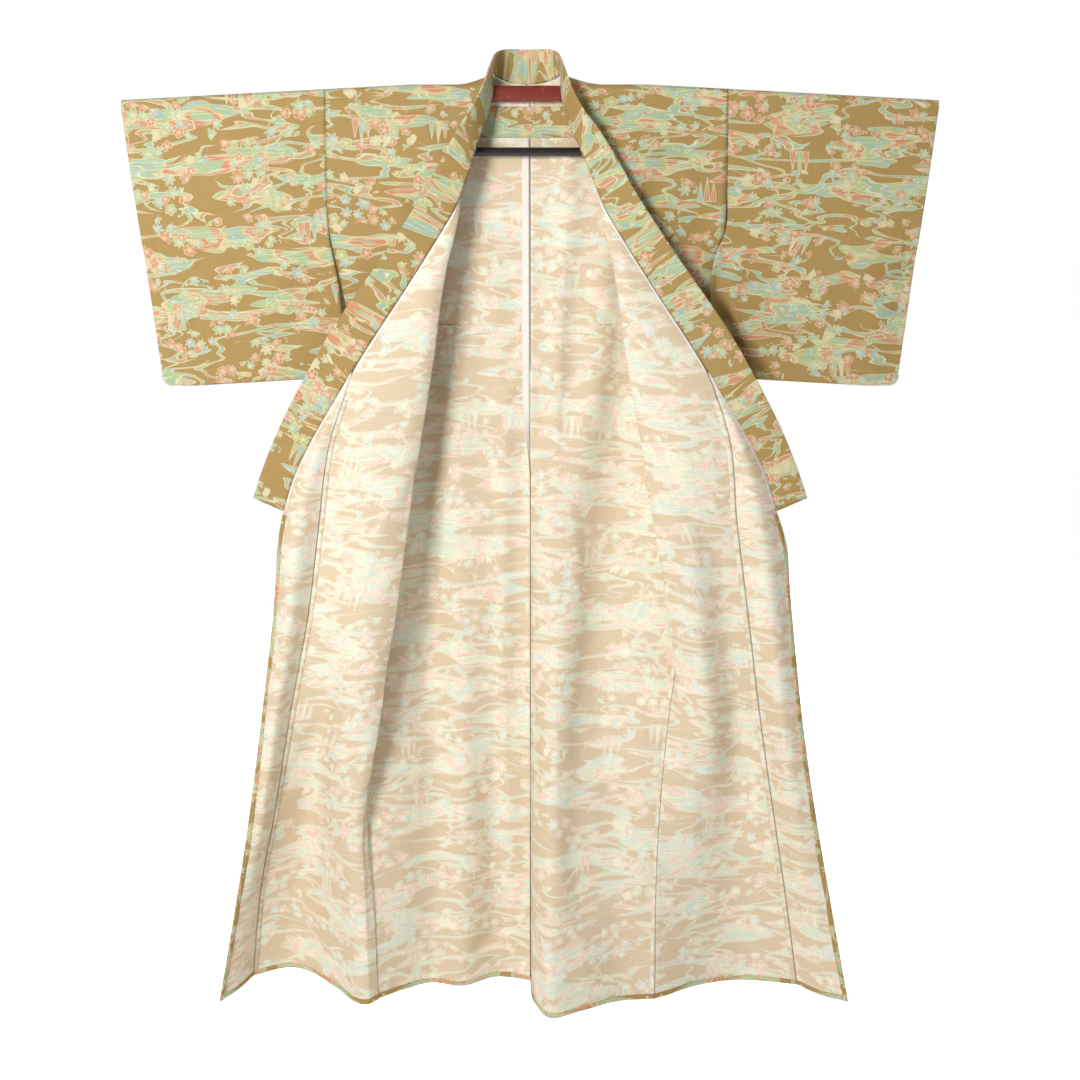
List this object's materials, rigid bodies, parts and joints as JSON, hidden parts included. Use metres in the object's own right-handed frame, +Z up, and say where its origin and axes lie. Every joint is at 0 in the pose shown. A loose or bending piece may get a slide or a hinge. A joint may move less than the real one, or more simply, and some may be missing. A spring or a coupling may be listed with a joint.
{
  "type": "kimono",
  "caption": "Unlined printed crepe kimono with square sleeves, hung wide open on a straight hanger with both front edges turned back to show the wrong side.",
  "frame": {"origin": "top middle of the hanger bar, where the hanger is held up", "axes": "+Z up along the garment's length, the front of the garment towards -Y, the wearer's left towards +X"},
  "size_m": [1.38, 0.1744, 1.7154],
  "materials": {
    "printed_crepe": "matt fine crepe, gold-brown ground printed in mint, pale blue, pink and cream",
    "white_tape": "white woven seam tape",
    "red_lacquer": "dark red lacquered wood, soft gloss",
    "black_lacquer": "black lacquered rod"
  },
  "bodies": {
    "root": {"body_right": "printed_crepe", "front_band_right": "printed_crepe", "sleeve_right": "printed_crepe", "waist_tuck_right": "printed_crepe", "body_left": "printed_crepe", "front_band_left": "printed_crepe", "sleeve_left": "printed_crepe", "waist_tuck_left": "printed_crepe", "collar": "printed_crepe", "shoulder_patch": "printed_crepe", "back_seam_tape": "white_tape", "hanger_bar": "red_lacquer", "obi_bar": "black_lacquer"}
  },
  "joints": []
}
